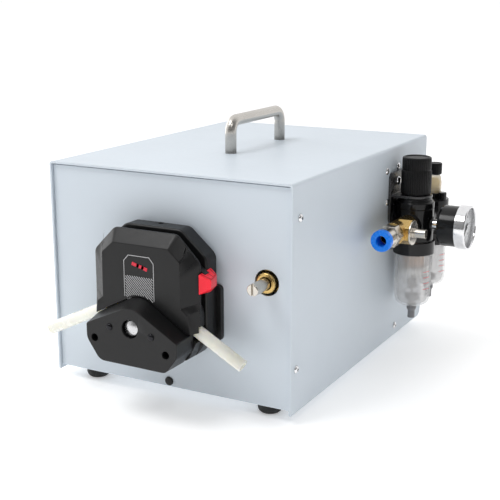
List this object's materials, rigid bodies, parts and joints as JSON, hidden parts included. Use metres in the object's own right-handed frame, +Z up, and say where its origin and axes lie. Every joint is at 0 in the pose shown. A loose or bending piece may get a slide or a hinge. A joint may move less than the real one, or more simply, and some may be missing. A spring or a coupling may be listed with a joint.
{
  "type": "peristaltic pump",
  "caption": "Air-driven peristaltic pump: sheet-metal cabinet with a bow handle, a lever-opened roller head, a speed valve and a side filter-regulator with lubricator.",
  "frame": {"origin": "centre of the object's outline, on the floor under the rubber feet", "axes": "+X to the right as seen from the pump head, +Y towards the rear of the cabinet, +Z up"},
  "size_m": [0.332, 0.4216, 0.248],
  "materials": {
    "powder_coat": "satin light grey powder coat",
    "black_plastic": "satin moulded plastic",
    "white_acetal": "machined plastic",
    "red_plastic": "semi-gloss",
    "silicone": "translucent soft tube",
    "steel": "turned",
    "gear_steel": "oiled",
    "cast_alloy": "as cast",
    "screw_chrome": "bright plated",
    "black_screw": "black oxide, glossy",
    "black_rubber": "matt",
    "handle_steel": "brushed along its length",
    "brass": "turned",
    "nickel": "nickel plated, satin",
    "hose_blue": "smooth",
    "muffler_brass": "sintered",
    "black_metal": "satin black",
    "black_gloss": "gloss",
    "black_knob": "ribbed satin",
    "clear_bowl": "clear polycarbonate",
    "bronze_filter": "sintered bronze",
    "grey_plastic": "satin",
    "amber_dome": "amber tinted polycarbonate",
    "dial_white": "matt printed dial",
    "needle_black": "matt",
    "gauge_glass": "clear",
    "blue_plastic": "semi-gloss"
  },
  "bodies": {
    "cabinet": {"air_hoses": "hose_blue", "bowl_collars": "black_gloss", "carry_handle": "handle_steel", "case_screws": "screw_chrome", "chassis": "powder_coat", "cover": "powder_coat", "cover_screws": "screw_chrome", "filter_baffle": "white_acetal", "filter_bowl": "clear_bowl", "filter_element": "bronze_filter", "frl_bracket": "black_metal", "gauge_bezel": "screw_chrome", "gauge_case": "black_gloss", "gauge_dial": "dial_white", "gauge_lens": "gauge_glass", "gearbox_housing": "cast_alloy", "head_body": "black_plastic", "head_screws": "black_screw", "inlet_fitting": "nickel", "inlet_tee": "brass", "lubricator_body": "black_metal", "lubricator_bowl": "clear_bowl", "motor_housing": "cast_alloy", "mount_plate": "black_plastic", "muffler": "muffler_brass", "outlet_elbow": "brass", "panel_plug": "black_rubber", "pump_tube": "silicone", "rear_panel": "powder_coat", "regulator_body": "black_metal", "regulator_bonnet": "black_gloss", "rotor_cover": "black_plastic", "rubber_feet": "black_rubber", "shaft_bearings": "steel", "sight_dome": "amber_dome", "valve_body": "brass", "valve_nut": "brass"},
    "rotor": {"rotor_hub": "steel", "roller_pins": "steel", "drive_shaft": "steel", "output_gear": "gear_steel"},
    "roller_body_1": {"roller_1": "steel"},
    "roller_body_2": {"roller_2": "steel"},
    "roller_body_3": {"roller_3": "steel"},
    "roller_body_4": {"roller_4": "steel"},
    "motor_core": {"motor_rotor": "gear_steel"},
    "jaw": {"jaw_cover": "black_plastic", "upper_jaw": "white_acetal"},
    "lever": {"lever_arm": "black_plastic", "lever_tip": "red_plastic"},
    "left_clamp": {"clamp_left": "black_plastic"},
    "right_clamp": {"clamp_right": "black_plastic"},
    "valve_spindle": {"valve_stem": "nickel"},
    "regulator_screw": {"regulator_spindle": "steel"},
    "knob": {"regulator_knob": "black_knob"},
    "needle": {"gauge_needle": "needle_black"},
    "oil_screw": {"oil_knob": "black_knob"},
    "filter_drain_valve": {"filter_drain": "grey_plastic"},
    "oiler_drain_valve": {"lubricator_drain": "grey_plastic"},
    "push_ring": {"release_ring": "blue_plastic"}
  },
  "joints": [
    {"name": "rotor_spin", "type": "hinge", "parent": "cabinet", "child": "rotor", "pos_m": [-0.039, -0.1767, 0.085], "axis": [0, -1, 0], "continuous": true},
    {"name": "roller_1_spin", "type": "hinge", "parent": "rotor", "child": "roller_body_1", "pos_m": [-0.02557, -0.1767, 0.09843], "axis": [0, -1, 0], "continuous": true},
    {"name": "roller_2_spin", "type": "hinge", "parent": "rotor", "child": "roller_body_2", "pos_m": [-0.05244, -0.1767, 0.09843], "axis": [0, -1, 0], "continuous": true},
    {"name": "roller_3_spin", "type": "hinge", "parent": "rotor", "child": "roller_body_3", "pos_m": [-0.05244, -0.1767, 0.07157], "axis": [0, -1, 0], "continuous": true},
    {"name": "roller_4_spin", "type": "hinge", "parent": "rotor", "child": "roller_body_4", "pos_m": [-0.02557, -0.1767, 0.07157], "axis": [0, -1, 0], "continuous": true},
    {"name": "motor_spin", "type": "hinge", "parent": "cabinet", "child": "motor_core", "pos_m": [-0.039, -0.1327, 0.133], "axis": [0, -1, 0], "continuous": true},
    {"name": "lever_swing", "type": "hinge", "parent": "cabinet", "child": "lever", "pos_m": [-0.039, -0.1747, 0.1515], "axis": [0, -1, 0], "range_deg": [0, 130]},
    {"name": "jaw_slide", "type": "slide", "parent": "cabinet", "child": "jaw", "axis": [0, 0, 1], "range_m": [0, 0.012]},
    {"name": "left_clamp_slide", "type": "slide", "parent": "jaw", "child": "left_clamp", "axis": [0, 0, 1], "range_m": [0, 0.003], "stiffness_N_per_m": 400},
    {"name": "right_clamp_slide", "type": "slide", "parent": "jaw", "child": "right_clamp", "axis": [0, 0, 1], "range_m": [0, 0.003], "stiffness_N_per_m": 400},
    {"name": "valve_turn", "type": "hinge", "parent": "cabinet", "child": "valve_spindle", "pos_m": [0.061, -0.1717, 0.1245], "axis": [0, -1, 0], "range_deg": [0, 1080]},
    {"name": "regulator_turn", "type": "hinge", "parent": "cabinet", "child": "regulator_screw", "pos_m": [0.108, 0.0863, 0.1885], "axis": [0, 0, 1], "range_deg": [0, 1080]},
    {"name": "knob_lift", "type": "slide", "parent": "regulator_screw", "child": "knob", "axis": [0, 0, 1], "range_m": [0, 0.003]},
    {"name": "gauge_sweep", "type": "hinge", "parent": "cabinet", "child": "needle", "pos_m": [0.162, 0.0863, 0.1355], "axis": [-1, 0, 0], "range_deg": [0, 270]},
    {"name": "oil_screw_turn", "type": "hinge", "parent": "cabinet", "child": "oil_screw", "pos_m": [0.1105, 0.1383, 0.1835], "axis": [0, 0, 1], "range_deg": [0, 720]},
    {"name": "filter_drain_turn", "type": "hinge", "parent": "cabinet", "child": "filter_drain_valve", "pos_m": [0.108, 0.0863, 0.0435], "axis": [0, 0, 1], "range_deg": [0, 90]},
    {"name": "oiler_drain_turn", "type": "hinge", "parent": "cabinet", "child": "oiler_drain_valve", "pos_m": [0.108, 0.1383, 0.0485], "axis": [0, 0, 1], "range_deg": [0, 90]},
    {"name": "ring_press", "type": "slide", "parent": "cabinet", "child": "push_ring", "axis": [0, 1, 0], "range_m": [0, 0.0012], "stiffness_N_per_m": 1500}
  ],
  "couplings": [
    {"joint": "roller_1_spin", "follows": "rotor_spin", "ratio": -3.5333},
    {"joint": "roller_2_spin", "follows": "rotor_spin", "ratio": -3.5333},
    {"joint": "roller_3_spin", "follows": "rotor_spin", "ratio": -3.5333},
    {"joint": "roller_4_spin", "follows": "rotor_spin", "ratio": -3.5333},
    {"joint": "motor_spin", "follows": "rotor_spin", "ratio": -3},
    {"joint": "lever_swing", "follows": "jaw_slide", "rad_per_m": 189.08}
  ]
}
